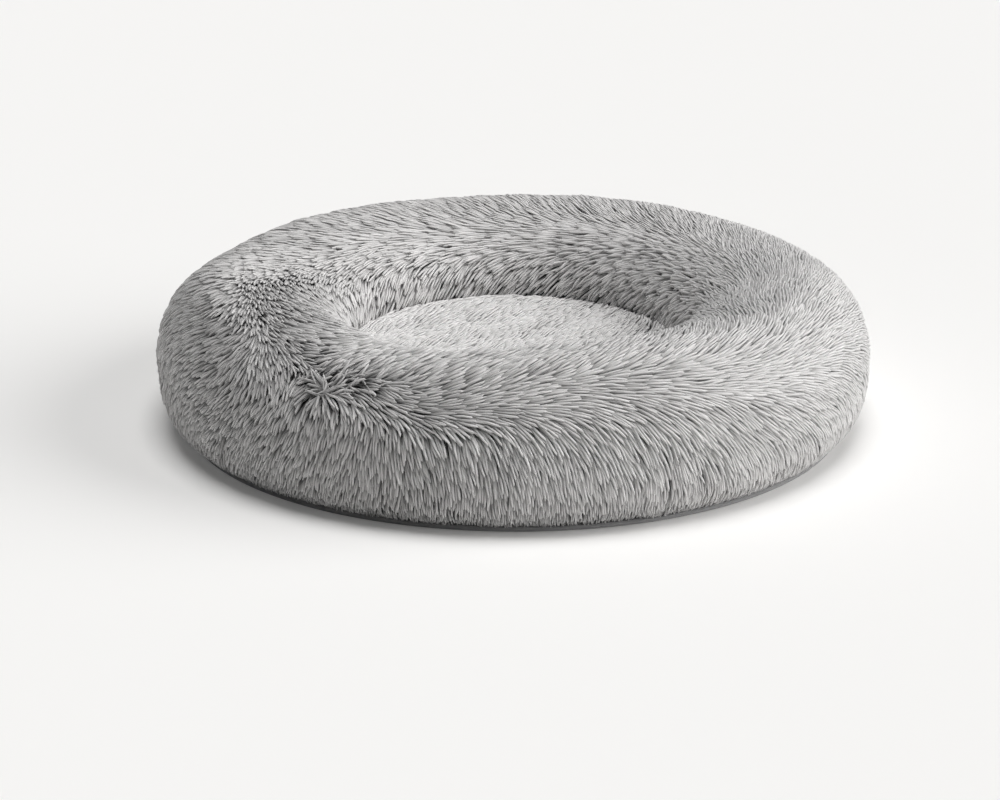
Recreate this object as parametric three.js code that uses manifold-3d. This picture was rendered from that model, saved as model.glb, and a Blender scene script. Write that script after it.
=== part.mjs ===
// A round plush pet bed: a stuffed ring sewn round a crowned centre pad, on a flat
// non-slip base. The cover opens along a coil zip at the rear, just above the base.
// Millimetres, +Z up. The origin is on the floor under the middle of the bed, and the
// zip is on the +Y side.
import * as THREE from 'three';
import { mergeVertices } from 'three/addons/utils/BufferGeometryUtils.js';
import Module from 'manifold-3d';

const wasm = await Module();
wasm.setup();
const degrees = THREE.MathUtils.degToRad;

// Overall form, measured over the pile
const bedRadius = 455;
const rimHeight = 196;
const crestRadius = 368;
const hollowRadius = 212;
const padHeight = 100;
const padCrown = 7;
const shoulderDepth = 6;
const seamHeight = 58;
const clearance = 0.3;

// Plush cover
const pileThickness = 20;
const padPileThickness = 20;
const seamPileThickness = 5;

// Base: a coated panel inside a firm rolled binding
const panelThickness = 2;
const bindingProud = 1.85;
const bindingWidth = 12;
const bindingHeight = 7;
const bindingEdgeRadius = 2.6;

// Zip: two tapes with a row of teeth each, standing on the binding
const zipHalfAngle = degrees(50);
const zipBandHeight = 14;
const zipSetback = 4.8;
const tapeThickness = 0.8;
const tapeTail = 20;
const teethDepth = 2.2;
const teethHeight = 2.2;
const rowGap = 1.8;

// Zip stops, slider and pull
const stopLength = 4;
const stopLip = 0.4;
const stopGap = 1.2;
const sliderLength = 12;
const sliderPlate = 1.3;
const sliderFlange = 0.9;
const sliderFlare = 0.55;
const sliderShoulder = 4;
const sliderCorner = 1.2;
const sliderClearance = 0.45;
const postLength = 3.6;
const postThickness = 1;
const bailHalfSpan = 3.4;
const bailWidth = 1.8;
const bailThickness = 1;
const pinDiameter = 1.4;
const pinClearance = 0.4;
const pullLength = 27;
const pullWidth = 7.6;
const pullNeckWidth = 6;
const pullNeckLength = 9;
const pullThickness = 1.2;
const pullWindowWidth = 3.2;
const pullWindowLength = 5.6;
const pullHoleRadius = 1.6;
const pullHoleInset = 3.8;
const cutOverrun = 1;

// Inner bags and their filling
const linerThickness = 1.2;
const dividerThickness = 1.6;
const padLinerSplit = 30;

// How the stuffed form has settled in use
const dipAngle = degrees(-116);
const dipSpread = degrees(27);
const dipDepth = 13;
const bulgeAngle = degrees(-84);
const bulgeSpread = degrees(52);
const bulgeDepth = 7;
const creaseAngle = degrees(-4);
const creaseSpread = degrees(14);
const creaseDepth = 10;
const slowWaveDepth = 3;
const quickWaveDepth = 2;

// Fullness of the ring's section: 2 is an ellipse, and more is squarer
const coverTopPower = 1.9;
const coverOuterFootPower = 3.2;
const coverInnerFootPower = 2;
const liningTopPower = 2;
const liningOuterFootPower = 2.5;
const liningInnerFootPower = 7;

// Smoothness of the solids
const turnSteps = 48;
const coverSteps = 12;
const liningSteps = 7;
const padSteps = 4;
const edgeSteps = 2;
const zipStep = degrees(2.5);
const pullEndSteps = 8;
const pinSides = 12;
const holeSides = 16;

const turn = Math.PI * 2;
const rear = Math.PI / 2;
const midHeight = rimHeight / 2;
const hemHeight = bindingHeight + clearance;
const zipHemHeight = hemHeight + zipBandHeight + clearance;
const zipMidHeight = hemHeight + zipBandHeight / 2;

const smooth = (x) => THREE.MathUtils.smoothstep(x, 0, 1);
const angleBetween = (a, b) => Math.atan2(Math.sin(a - b), Math.cos(a - b));
const bump = (angle, at, spread) => Math.exp(-((angleBetween(angle, at) / spread) ** 2));

// Moves a point of the ideal bed to where the settled bed has it: the crest sinks a
// little in places, and the hollow is pressed out of round.
function settle(angle, radius, height) {
  const slow = slowWaveDepth * (1 + Math.sin(3 * angle + 0.6)) / 2;
  const quick = quickWaveDepth * (1 + Math.sin(5 * angle - 0.9)) / 2;
  const sag = slow + quick + dipDepth * bump(angle, dipAngle, dipSpread);
  const sagShare = smooth((height - padHeight) / (rimHeight - padHeight));
  const shift = creaseDepth * bump(angle, creaseAngle, creaseSpread)
    - bulgeDepth * bump(angle, bulgeAngle, bulgeSpread);
  const shiftShare = radius < hollowRadius
    ? radius / hollowRadius
    : 1 - smooth((radius - hollowRadius) / (crestRadius - hollowRadius));
  return [radius + shift * shiftShare, height - sag * sagShare];
}

const asIs = (angle, radius, height) => [radius, height];

// A closed solid swept round the upright axis from a loop of [radius, height] points
// that runs anticlockwise. Without a range of angles it is a whole ring, and points on
// the axis are shared by the whole turn. Each facet is split down from its first higher
// corner, so that surfaces lying side by side are split alike.
function sweep(sectionAt, place = asIs, range = null) {
  const steps = range ? Math.ceil((range[1] - range[0]) / zipStep) : turnSteps;
  const [from, to] = range ?? [0, turn];
  const places = [];
  const faces = [];
  const index = [];
  for (let i = 0; i <= steps; i++) {
    const angle = from + (to - from) * i / steps;
    index.push(sectionAt(angle).map(([r, z], j) => {
      if (!range && i === steps) return index[0][j];
      if (r === 0 && i > 0) return index[0][j];
      const [radius, height] = place(angle, r, z);
      places.push(radius * Math.cos(angle), radius * Math.sin(angle), height);
      return places.length / 3 - 1;
    }));
  }
  const face = (a, b, c) => {
    if (a !== b && b !== c && c !== a) faces.push(a, b, c);
  };
  const section = sectionAt(from);
  const count = section.length;
  for (let i = 0; i < steps; i++) {
    for (let j = 0; j < count; j++) {
      const next = (j + 1) % count;
      const [a, b, c, d] = [index[i][j], index[i + 1][j], index[i + 1][next], index[i][next]];
      const falls = section[j][1] > section[next][1];
      face(a, b, falls ? c : d);
      face(falls ? a : b, c, d);
    }
  }
  if (range) {
    for (let j = 1; j < count - 1; j++) {
      face(index[0][0], index[0][j], index[0][j + 1]);
      face(index[steps][0], index[steps][j + 1], index[steps][j]);
    }
  }
  return new THREE.BufferGeometry()
    .setAttribute('position', new THREE.Float32BufferAttribute(places, 3))
    .setIndex(faces);
}

// The layers of the ring, from the outside in. Each has its own superellipse for the
// top, for the outer foot and for the foot that faces the hollow.
const coverLayer = {
  inset: 0, foot: 0, top: coverTopPower, outer: coverOuterFootPower, inner: coverInnerFootPower,
};
const liningLayer = (inset, foot) => ({
  inset, foot, top: liningTopPower, outer: liningOuterFootPower, inner: liningInnerFootPower,
});

// The point of a layer at the angle t round the ring's section: 0 points outwards, a
// quarter turn is the crest, and a half turn faces the hollow.
function ringPoint(t, layer) {
  const [c, s] = [Math.cos(t), Math.sin(t)];
  const reach = c >= 0 ? bedRadius - crestRadius : crestRadius - hollowRadius;
  const footPower = c >= 0 ? layer.outer : layer.inner;
  const power = s >= 0 ? layer.top : footPower;
  const rise = s >= 0 ? rimHeight - midHeight - layer.inset : midHeight - layer.foot;
  return [
    crestRadius + (reach - layer.inset) * Math.sign(c) * Math.abs(c) ** (2 / power),
    midHeight + rise * Math.sign(s) * Math.abs(s) ** (2 / power),
  ];
}

// The angle t at which a layer comes down to a height, on its outer or inner foot.
function footAngle(height, layer, isOuter) {
  const drop = (midHeight - height) / (midHeight - layer.foot);
  const t = Math.asin(drop ** ((isOuter ? layer.outer : layer.inner) / 2));
  return isOuter ? -t : Math.PI + t;
}

const spread = (from, to, steps) =>
  Array.from({ length: steps + 1 }, (_, i) => from + (to - from) * i / steps);

// The binding is sewn just outside the foot of the plush, and the zip stands on it.
const [footRadius] = ringPoint(footAngle(hemHeight, coverLayer, true), coverLayer);
const bindingRadius = footRadius + bindingProud;
const zipRadius = bindingRadius - zipSetback;

// Height of the fur's hem: low on the binding, and raised over the zip.
function hemAt(angle) {
  const step = turn / turnSteps;
  const past = Math.abs(angleBetween(angle, rear)) - zipHalfAngle;
  return zipHemHeight + (hemHeight - zipHemHeight) * smooth((past - step) / (2 * step));
}

const coverLining = liningLayer(pileThickness, 0);
const liningAngles = spread(
  footAngle(seamHeight, coverLining, false), footAngle(hemHeight, coverLining, true), liningSteps);

// Plush skin of the ring, open underneath, from the hem over the crest to the seam.
function ringCover() {
  const seamAngle = footAngle(seamHeight, coverLayer, false);
  return sweep((angle) => {
    const hem = hemAt(angle);
    const outer = [...spread(footAngle(hem, coverLayer, true), Math.PI, coverSteps - 1), seamAngle];
    const inner = [...liningAngles.slice(0, -1), footAngle(hem, coverLining, true)];
    return [...outer.map((t) => ringPoint(t, coverLayer)), ...inner.map((t) => ringPoint(t, coverLining))];
  }, settle);
}

// The bag round the ring's filling follows the plush inside, and its closing seam is
// left as a slit underneath.
const slitFrom = degrees(260);
const slitTo = degrees(-98.5);
const bagCorner = degrees(225);

function ringLiner() {
  const angles = [slitFrom, bagCorner, ...liningAngles, -rear, slitTo];
  const foot = panelThickness + clearance;
  const outside = liningLayer(pileThickness + clearance, foot);
  const inside = liningLayer(outside.inset + linerThickness, foot + linerThickness);
  const outer = angles.map((t) => ringPoint(t, outside)).reverse();
  const inner = angles.map((t) => ringPoint(t, inside));
  return sweep(() => [...outer, ...inner], settle);
}

function ringFill() {
  const layer = liningLayer(
    pileThickness + linerThickness + 2 * clearance, panelThickness + linerThickness + 2 * clearance);
  const angles = [(slitFrom + slitTo + turn) / 2, bagCorner, ...liningAngles, -rear];
  const section = angles.map((t) => ringPoint(t, layer)).reverse();
  return sweep(() => section, settle);
}

// The side of the pad leans with the lowest facet of the ring's wall, which runs from
// the ring's waist to the seam.
const [seamRadius] = ringPoint(footAngle(seamHeight, coverLayer, false), coverLayer);
const padSide = (height, inset) =>
  hollowRadius + (seamRadius - hollowRadius) * (midHeight - height) / (midHeight - seamHeight) - inset;

// A crowned top of the pad, from its shoulder to the axis, at an inset from the plush.
function padTop(inset, drop) {
  const shoulder = padHeight - padCrown - shoulderDepth - drop;
  const edge = padSide(shoulder, inset);
  const flat = edge - 2 * shoulderDepth;
  const crownAt = (r) => padHeight - drop - padCrown * (r / hollowRadius) ** 2;
  const crown = spread(flat, 0, padSteps).map((r) => [r, crownAt(r)]);
  return [[edge, shoulder], [edge - shoulderDepth / 2, shoulder + 2 * shoulderDepth / 3], ...crown];
}

const padLinerInset = seamPileThickness + 2 * clearance;
const padLinerDrop = padPileThickness + clearance;

function padCover() {
  const outer = padTop(clearance, 0);
  const inner = padTop(clearance + seamPileThickness, padPileThickness).reverse();
  const foot = (inset) => [padSide(seamHeight, inset), seamHeight];
  return sweep(() => [foot(clearance), ...outer, ...inner, foot(clearance + seamPileThickness)], settle);
}

// Straight sides of the pad's bag and filling, below the seam.
const bagRadius = seamRadius - dividerThickness / 2 - clearance - seamPileThickness;

function padLinerTop() {
  const outer = padTop(padLinerInset, padLinerDrop);
  const inner = padTop(padLinerInset + linerThickness, padLinerDrop + linerThickness).reverse();
  const radii = [bagRadius, bagRadius - linerThickness];
  return sweep(() => [
    [radii[0], padLinerSplit], [radii[0], seamHeight], ...outer,
    ...inner, [radii[1], seamHeight], [radii[1], padLinerSplit],
  ], settle);
}

function padLinerBase() {
  const foot = panelThickness + clearance;
  const rim = padLinerSplit - clearance;
  const inside = bagRadius - linerThickness;
  return sweep(() => [
    [0, foot], [bagRadius, foot], [bagRadius, rim], [inside, rim], [inside, foot + linerThickness],
    [0, foot + linerThickness],
  ], settle);
}

function padFill() {
  const foot = panelThickness + linerThickness + 2 * clearance;
  const inset = padLinerInset + linerThickness + clearance;
  const side = bagRadius - linerThickness - clearance;
  const top = padTop(inset, padLinerDrop + linerThickness + clearance);
  return sweep(() => [[0, foot], [side, foot], [side, seamHeight], ...top], settle);
}

// Upright fabric wall that ties the seam of ring and pad down to the base.
function dividerWall() {
  const [inside, outside] = [-1, 1].map((side) => seamRadius + side * dividerThickness / 2);
  const [foot, top] = [panelThickness + clearance, seamHeight - clearance];
  return sweep(() => [[inside, foot], [outside, foot], [outside, top], [inside, top]], settle);
}

function basePanel() {
  const edge = bindingRadius - bindingWidth - clearance;
  return sweep(() => [[0, 0], [edge, 0], [edge, panelThickness], [0, panelThickness]]);
}

function baseBinding() {
  const corner = (height, from) => spread(from, from + rear, edgeSteps).map((t) => [
    bindingRadius - bindingEdgeRadius * (1 - Math.cos(t)), height + bindingEdgeRadius * Math.sin(t)]);
  const inner = bindingRadius - bindingWidth;
  return sweep(() => [
    [inner, 0], ...corner(bindingEdgeRadius, -rear), ...corner(bindingHeight - bindingEdgeRadius, 0),
    [inner, bindingHeight],
  ]);
}

// Zip parts run along the zip's arc, centred on its radius.
function zipStrip(depth, low, high, from, to) {
  const [inside, outside] = [zipRadius - depth / 2, zipRadius + depth / 2];
  return sweep(() => [[inside, low], [outside, low], [outside, high], [inside, high]], asIs, [from, to]);
}

const rowsHeight = rowGap + 2 * teethHeight;
const rowsHalfAngle = zipHalfAngle - tapeTail / zipRadius;
const teethHalfAngle = rowsHalfAngle - (stopLength + clearance) / zipRadius;
const teethAngles = [rear - teethHalfAngle, rear + teethHalfAngle];
const tapeAngles = [rear - zipHalfAngle, rear + zipHalfAngle];

function zipTape(isUpper) {
  const reach = zipBandHeight / 2 - rowsHeight / 2 - clearance;
  const low = isUpper ? zipMidHeight + rowsHeight / 2 + clearance : hemHeight;
  return zipStrip(tapeThickness, low, low + reach, ...tapeAngles);
}

function zipTeeth(isUpper) {
  const low = isUpper ? zipMidHeight + rowGap / 2 : zipMidHeight - rowGap / 2 - teethHeight;
  return zipStrip(teethDepth, low, low + teethHeight, ...teethAngles);
}

function zipStop(side) {
  const ends = [rowsHalfAngle - stopLength / zipRadius, rowsHalfAngle].map((a) => rear + side * a);
  const [low, high] = [zipMidHeight - rowsHeight / 2, zipMidHeight + rowsHeight / 2];
  return zipStrip(teethDepth + 2 * stopLip, low, high, Math.min(...ends), Math.max(...ends));
}

// Small solids for joining and cutting.
function solid(geometry) {
  const bare = geometry.clone();
  bare.deleteAttribute('normal');
  bare.deleteAttribute('uv');
  const merged = mergeVertices(bare);
  return new wasm.Manifold(new wasm.Mesh({
    numProp: 3,
    vertProperties: new Float32Array(merged.attributes.position.array),
    triVerts: new Uint32Array(merged.index.array),
  }));
}

function meshOf(manifold) {
  const { vertProperties, triVerts } = manifold.getMesh();
  return new THREE.BufferGeometry()
    .setAttribute('position', new THREE.BufferAttribute(vertProperties, 3))
    .setIndex(new THREE.BufferAttribute(triVerts, 1));
}

const block = (x, y, z, at = [0, 0, 0]) => solid(new THREE.BoxGeometry(x, y, z).translate(...at));

// An outline in the X-Z plane given a thickness along Y, centred on y = middle.
function plate(shape, thickness, middle) {
  const geometry = new THREE.ExtrudeGeometry(shape, { depth: thickness, bevelEnabled: false });
  return solid(geometry.rotateX(Math.PI / 2).translate(0, middle + thickness / 2, 0));
}

const outline = (points) => new THREE.Shape(points.map(([x, y]) => new THREE.Vector2(x, y)));

// The slider and pull are drawn with the zip running along X and its outer face
// towards +Y, and their own origin in the middle of the zip.
const channelDepth = teethDepth + 2 * sliderClearance;
const channelHeight = rowsHeight + 2 * sliderClearance;
const sliderHalfDepth = channelDepth / 2 + sliderPlate;
const sliderHalfHeight = channelHeight / 2 + sliderFlange;
const pinHeight = sliderHalfDepth + pinClearance + pinDiameter / 2;

function zipSlider() {
  const [tail, nose] = [-sliderLength / 2, sliderLength / 2];
  const wide = sliderHalfHeight + sliderFlare;
  const half = [
    [tail, sliderHalfHeight - sliderCorner], [tail + sliderCorner, sliderHalfHeight],
    [nose - sliderShoulder, wide], [nose - sliderCorner, wide], [nose, wide - sliderCorner],
  ];
  const otherHalf = half.map(([x, z]) => [x, -z]).reverse();
  const shell = plate(outline([...half, ...otherHalf]), 2 * sliderHalfDepth, 0);
  const length = sliderLength + cutOverrun;
  const channel = block(length, channelDepth, channelHeight);
  const slot = block(length, tapeThickness + 2 * sliderClearance, 2 * wide + cutOverrun);
  const post = block(postLength, channelDepth + sliderPlate, postThickness, [nose - postLength, 0, 0]);
  return meshOf(shell.subtract(channel).subtract(slot).add(post).add(bail()));
}

// The small arch on the slider that holds the pull's cross pin.
function bail() {
  const roof = pinDiameter + 2 * pinClearance;
  const outer = bailHalfSpan + bailThickness / 2;
  const inner = bailHalfSpan - bailThickness / 2;
  const root = -sliderPlate / 2;
  const half = [
    [inner, roof], [inner, root], [outer, root], [outer, roof],
    [outer - bailThickness, roof + bailThickness],
  ];
  const shape = outline([...half, ...half.map(([x, y]) => [-x, y]).reverse()]);
  const arch = new THREE.ExtrudeGeometry(shape, { depth: bailWidth, bevelEnabled: false });
  return solid(arch.translate(0, sliderHalfDepth, -bailWidth / 2));
}

// Flat tab with a window that the bail runs through. It lies towards -X at rest.
function zipPull() {
  const neck = pullNeckWidth / 2;
  const side = pullWidth / 2;
  const head = pinDiameter / 2;
  const endAt = (t) => [side - pullLength - side * Math.cos(t), side * Math.sin(t)];
  const end = spread(rear, -rear, pullEndSteps).map(endAt);
  const shoulder = -pullNeckLength;
  const tab = outline([[head, -neck], [head, neck], [shoulder, neck], ...end, [shoulder, -neck]]);
  const through = pullThickness + cutOverrun;
  const windowLength = pullWindowLength + head + cutOverrun;
  const windowMiddle = windowLength / 2 - pullWindowLength;
  const window = block(windowLength, through, pullWindowWidth, [windowMiddle, pinHeight, 0]);
  const hole = new THREE.CylinderGeometry(pullHoleRadius, pullHoleRadius, through, holeSides)
    .translate(pullHoleInset - pullLength, pinHeight, 0);
  const pin = new THREE.CylinderGeometry(head, head, pullNeckWidth, pinSides)
    .rotateX(rear).translate(0, pinHeight, 0);
  const tabSolid = plate(tab, pullThickness, pinHeight);
  return meshOf(tabSolid.subtract(window).subtract(solid(hole)).add(solid(pin)));
}

const material = (color, roughness, metalness = 0) =>
  new THREE.MeshStandardMaterial({ color, roughness, metalness });
const plush = material(0xa5a4a2, 0.95);
const coated = material(0x6d6d6f, 0.85);
const bindingCloth = material(0x77777a, 0.8);
const bagCloth = material(0xdedcd6, 0.9);
const fibre = material(0xf2f1ee, 1);
const tapeCloth = material(0x5f6063, 0.85);
const nylon = material(0x55565a, 0.5);
const castMetal = material(0x8e9094, 0.35, 0.9);

const bed = new THREE.Group();

function add(name, geometry, look, parent = bed) {
  const mesh = new THREE.Mesh(geometry, look);
  mesh.name = name;
  parent.add(mesh);
}

add('base_panel', basePanel(), coated);
add('base_binding', baseBinding(), bindingCloth);
add('divider_wall', dividerWall(), bagCloth);
add('ring_fill', ringFill(), fibre);
add('ring_liner', ringLiner(), bagCloth);
add('ring_cover', ringCover(), plush);
add('pad_fill', padFill(), fibre);
add('pad_liner_base', padLinerBase(), bagCloth);
add('pad_liner_top', padLinerTop(), bagCloth);
add('pad_cover', padCover(), plush);
add('zip_tape_lower', zipTape(false), tapeCloth);
add('zip_tape_upper', zipTape(true), tapeCloth);
add('zip_teeth_lower', zipTeeth(false), nylon);
add('zip_teeth_upper', zipTeeth(true), nylon);
add('zip_stop_start', zipStop(1), castMetal);
add('zip_stop_end', zipStop(-1), castMetal);

// The zip is closed at rest, with its slider against the stop on the +X side.
const sliderAngle = rowsHalfAngle - (stopLength + stopGap + sliderLength / 2) / zipRadius;
const turned = new THREE.Group();
turned.rotation.z = -sliderAngle;
const carrier = new THREE.Group();
carrier.position.set(0, zipRadius, zipMidHeight);
turned.add(carrier);
bed.add(turned);
add('zip_slider', zipSlider(), castMetal, carrier);
add('zip_pull', zipPull(), castMetal, carrier);

export default bed;
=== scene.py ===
import math

import bmesh
import bpy
import numpy as np
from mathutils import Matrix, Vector, kdtree


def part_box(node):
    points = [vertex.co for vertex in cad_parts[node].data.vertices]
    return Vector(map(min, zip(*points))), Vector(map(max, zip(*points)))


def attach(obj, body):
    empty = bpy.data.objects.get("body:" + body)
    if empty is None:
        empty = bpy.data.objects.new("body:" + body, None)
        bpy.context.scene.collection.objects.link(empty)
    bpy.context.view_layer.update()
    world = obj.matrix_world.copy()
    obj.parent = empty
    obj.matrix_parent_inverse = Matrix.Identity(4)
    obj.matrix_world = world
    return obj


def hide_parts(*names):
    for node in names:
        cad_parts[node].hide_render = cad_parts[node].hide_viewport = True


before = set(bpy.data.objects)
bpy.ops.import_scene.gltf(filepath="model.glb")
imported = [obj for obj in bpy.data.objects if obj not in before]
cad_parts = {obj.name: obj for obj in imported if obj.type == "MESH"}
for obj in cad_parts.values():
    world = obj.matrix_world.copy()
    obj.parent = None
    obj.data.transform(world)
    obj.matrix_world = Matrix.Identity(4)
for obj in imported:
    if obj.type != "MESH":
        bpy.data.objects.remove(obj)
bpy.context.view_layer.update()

# Camera. An 85 mm lens three metres in front of the bed and 17.5 degrees above the
# floor, aimed a little under and to the left of the bed, so that it stands high in the
# picture.
eye_tilt = math.radians(17.5)
eye_distance = 3.056
eye = Vector((0, -math.cos(eye_tilt) * eye_distance, 0.1 + math.sin(eye_tilt) * eye_distance))
aim = Vector((-0.018, 0, 0.0132))
camera_data = bpy.data.cameras.new("camera")
camera_data.lens = 85
camera_data.sensor_width = 36
camera = bpy.data.objects.new("camera", camera_data)
camera.location = eye
camera.rotation_euler = (aim - eye).to_track_quat("-Z", "Y").to_euler()
bpy.context.scene.collection.objects.link(camera)
bpy.context.scene.camera = camera
bpy.context.scene.view_settings.view_transform = "Standard"

# Studio. A plain pale floor and backdrop in a faint white surround, and two wide soft
# lamps far off: one overhead, and one low on the right, so that the bed's left falls into
# shade and its shadow lies on the floor to the left.
floor_color = (0.93, 0.925, 0.915, 1)
floor_glow = 0.1
surround_color = (0.95, 0.965, 1, 1)
surround_strength = 0.03


def named_material(name, color, roughness, sheen=0.0, metallic=0.0, specular=0.5):
    """A material and its node tree, with the Principled shader's plain values set on its
    own sockets."""
    material = bpy.data.materials.new(name)
    material.use_nodes = True
    shader = material.node_tree.nodes["Principled BSDF"]
    shader.inputs["Base Color"].default_value = color
    shader.inputs["Roughness"].default_value = roughness
    shader.inputs["Metallic"].default_value = metallic
    shader.inputs["Specular IOR Level"].default_value = specular
    shader.inputs["Sheen Weight"].default_value = sheen
    shader.inputs["Sheen Roughness"].default_value = 0.45
    return material, material.node_tree, shader


def mesh_of(name, points, faces):
    """An object at the origin from an array of points and a list of face arrays, one for
    each number of corners."""
    mesh = bpy.data.meshes.new(name)
    corners = np.concatenate([f.ravel() for f in faces]).astype(np.int32)
    sizes = np.concatenate([np.full(len(f), f.shape[1]) for f in faces]).astype(np.int32)
    mesh.vertices.add(len(points))
    mesh.vertices.foreach_set("co", np.ascontiguousarray(points, np.float32).ravel())
    mesh.loops.add(len(corners))
    mesh.loops.foreach_set("vertex_index", corners)
    mesh.polygons.add(len(sizes))
    mesh.polygons.foreach_set("loop_start", (np.cumsum(sizes) - sizes).astype(np.int32))
    mesh.update(calc_edges=True)
    mesh.validate()
    mesh.shade_smooth()
    made = bpy.data.objects.new(name, mesh)
    bpy.context.scene.collection.objects.link(made)
    return made


def seen_directly(tree):
    """1 for rays that come from the camera, off metal or through glass, and 0 for others."""
    paths = tree.nodes.new("ShaderNodeLightPath")
    seen = paths.outputs["Is Camera Ray"]
    for kind in ("Is Glossy Ray", "Is Transmission Ray"):
        either = tree.nodes.new("ShaderNodeMath")
        either.operation = "MAXIMUM"
        tree.links.new(seen, either.inputs[0])
        tree.links.new(paths.outputs[kind], either.inputs[1])
        seen = either.outputs[0]
    return seen


floor_material, floor_tree, floor_shader = named_material(
    "pale_floor", floor_color, 0.9, specular=0.1)
glow = floor_tree.nodes.new("ShaderNodeEmission")
glow.inputs["Color"].default_value = floor_color
share = floor_tree.nodes.new("ShaderNodeMath")
share.operation = "MULTIPLY"
share.inputs[1].default_value = floor_glow
blend = floor_tree.nodes.new("ShaderNodeMixShader")
floor_tree.links.new(seen_directly(floor_tree), share.inputs[0])
floor_tree.links.new(share.outputs[0], blend.inputs["Fac"])
floor_tree.links.new(floor_shader.outputs[0], blend.inputs[1])
floor_tree.links.new(glow.outputs[0], blend.inputs[2])
floor_tree.links.new(blend.outputs[0], floor_tree.nodes["Material Output"].inputs["Surface"])
floor_half = 14
floor_corners = np.array([[-1, -1, 0], [1, -1, 0], [1, 1, 0], [-1, 1, 0]]) * floor_half
floor = mesh_of("floor", floor_corners, [np.array([[0, 1, 2, 3]])])
floor.data.materials.append(floor_material)

world = bpy.data.worlds.new("surround")
world.use_nodes = True
world_tree = world.node_tree
background = world_tree.nodes["Background"]
background.inputs["Color"].default_value = surround_color
background.inputs["Strength"].default_value = surround_strength
backdrop = world_tree.nodes.new("ShaderNodeBackground")
backdrop.inputs["Color"].default_value = floor_color
either_way = world_tree.nodes.new("ShaderNodeMixShader")
world_tree.links.new(seen_directly(world_tree), either_way.inputs["Fac"])
world_tree.links.new(background.outputs[0], either_way.inputs[1])
world_tree.links.new(backdrop.outputs[0], either_way.inputs[2])
world_tree.links.new(either_way.outputs[0], world_tree.nodes["World Output"].inputs["Surface"])
bpy.context.scene.world = world


def soft_lamp(name, way, strength, spread, color):
    """A sun with a wide disc, of the given spread in degrees, that shines from the given
    direction."""
    data = bpy.data.lights.new(name, "SUN")
    data.energy = strength
    data.angle = math.radians(spread)
    data.color = color
    made = bpy.data.objects.new(name, data)
    made.rotation_euler = Vector(way).to_track_quat("Z", "Y").to_euler()
    bpy.context.scene.collection.objects.link(made)


soft_lamp("right_lamp", (0.91, -0.11, 0.40), 2.50, 50, (1, 0.993, 0.985))
soft_lamp("top_lamp", (0.02, -0.10, 0.995), 2.02, 35, (1, 0.998, 0.995))

# Base panel. A flat disc of woven polyester that lies inside the binding and is sewn to
# it all round. Small rubbery dots are moulded on its underside, so that it doesn't slide.
full_turn = 2 * math.pi
gap = 0.0003
binding_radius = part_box("base_binding")[1].x
binding_width = 0.012
panel_radius = binding_radius - binding_width - gap
panel_low = 0.0007
panel_high = 0.0020
base_color = (0.16, 0.16, 0.165, 1)
dot_color = (0.10, 0.10, 0.102, 1)
dot_radius = 0.0015
dot_pitch = 0.016


def on_axis(angle, radius, height):
    """Points in the bed's frame from an angle, a radius and a height."""
    angle, radius, height = np.broadcast_arrays(angle, radius, height)
    return np.stack([radius * np.cos(angle), radius * np.sin(angle), height], -1)


def closed(made, crisp=40):
    """Merges points that meet, faces everything outwards, and keeps edges crisp where the
    surface turns by more than the angle in degrees."""
    form = bmesh.new()
    form.from_mesh(made.data)
    bmesh.ops.remove_doubles(form, verts=form.verts, dist=1e-6)
    bmesh.ops.recalc_face_normals(form, faces=form.faces)
    form.to_mesh(made.data)
    form.free()
    made.data.set_sharp_from_angle(angle=math.radians(crisp))
    return made


def cloth_chart(made, u, v):
    """A UV map in metres from one pair of numbers for each face corner."""
    chart = made.data.uv_layers.new(name="cloth")
    chart.data.foreach_set("uv", np.stack([u.ravel(), v.ravel()], -1).ravel())


def round_sheet(name, grid, around=0.4):
    """A closed surface from a grid of points. Rows go round the section and columns go
    round the bed, and both come back to where they began. The UV map measures metres
    round the bed, at the radius called around, and metres round the section."""
    rows, columns = grid.shape[:2]
    row, column = np.arange(rows)[:, None], np.arange(columns)[None, :]
    after, beside = (row + 1) % rows, (column + 1) % columns
    quads = np.stack(np.broadcast_arrays(
        row * columns + column, row * columns + beside,
        after * columns + beside, after * columns + column), -1)
    made = mesh_of(name, grid.reshape(-1, 3), [quads.reshape(-1, 4)])
    section = np.concatenate([grid[:, 0], grid[:1, 0]])
    run = np.concatenate([[0], np.cumsum(np.linalg.norm(np.diff(section, axis=0), axis=1))])
    u = np.stack([column, column + 1, column + 1, column], -1) * full_turn * around / columns
    v = run[np.stack([row, row, row + 1, row + 1], -1)]
    u, v = np.broadcast_arrays(u, v)
    cloth_chart(made, u, v)
    return closed(made)


def disc_loop(edge, low, high, steps):
    """The half section of a disc, from the axis out along its underside and back in along
    its top, as rows of radius and height."""
    radius = np.linspace(0, edge, steps)
    return np.concatenate([radius, radius[::-1]]), np.repeat([low, high], steps)


def waviness(seed, points, size, terms=10):
    """Soft noise between about -1 and 1: a sum of sine waves of random direction and
    phase whose length is near size."""
    draw = np.random.default_rng(seed)
    ways = draw.normal(size=(terms, 3))
    ways *= full_turn / size / np.linalg.norm(ways, axis=1, keepdims=True)
    ways *= draw.uniform(0.6, 1.5, (terms, 1))
    phases = draw.uniform(0, full_turn, terms)
    return np.sin(points @ ways.T + phases).sum(-1) / math.sqrt(terms)


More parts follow.
